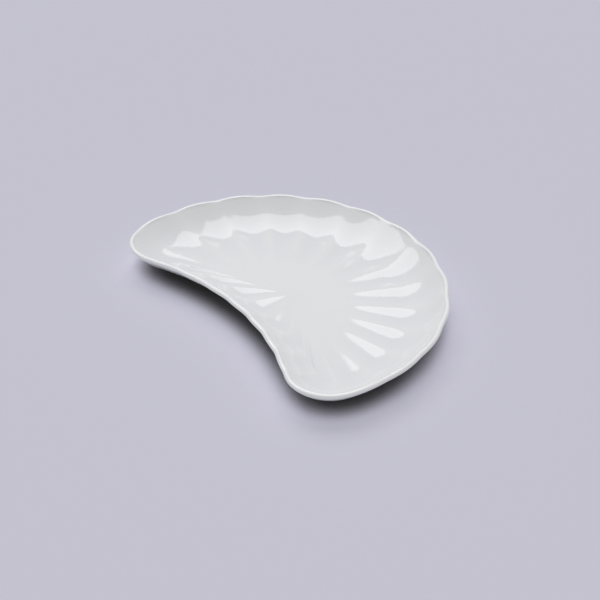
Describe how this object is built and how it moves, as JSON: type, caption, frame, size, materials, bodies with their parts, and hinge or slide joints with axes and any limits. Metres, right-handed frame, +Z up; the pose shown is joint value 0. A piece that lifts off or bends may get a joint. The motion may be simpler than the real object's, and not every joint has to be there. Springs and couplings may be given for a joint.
{
  "type": "crescent plate",
  "caption": "White glazed crescent side plate with a scalloped edge, flutes running in to a plain well, and a bare foot ring; its hollow edge fits beside a round dinner plate.",
  "frame": {"origin": "on the table under the middle of the plate's bounding box", "axes": "+X along the plate from horn to horn, +Y towards the middle of the long outer edge, +Z up"},
  "size_m": [0.1992, 0.1394, 0.0177],
  "materials": {
    "white_glaze": "glossy clear glaze over white porcelain",
    "bare_bisque": "matt unglazed porcelain, wiped bare before firing"
  },
  "bodies": {
    "root": {"plate_body": "white_glaze", "foot_ring": "bare_bisque"}
  },
  "joints": []
}
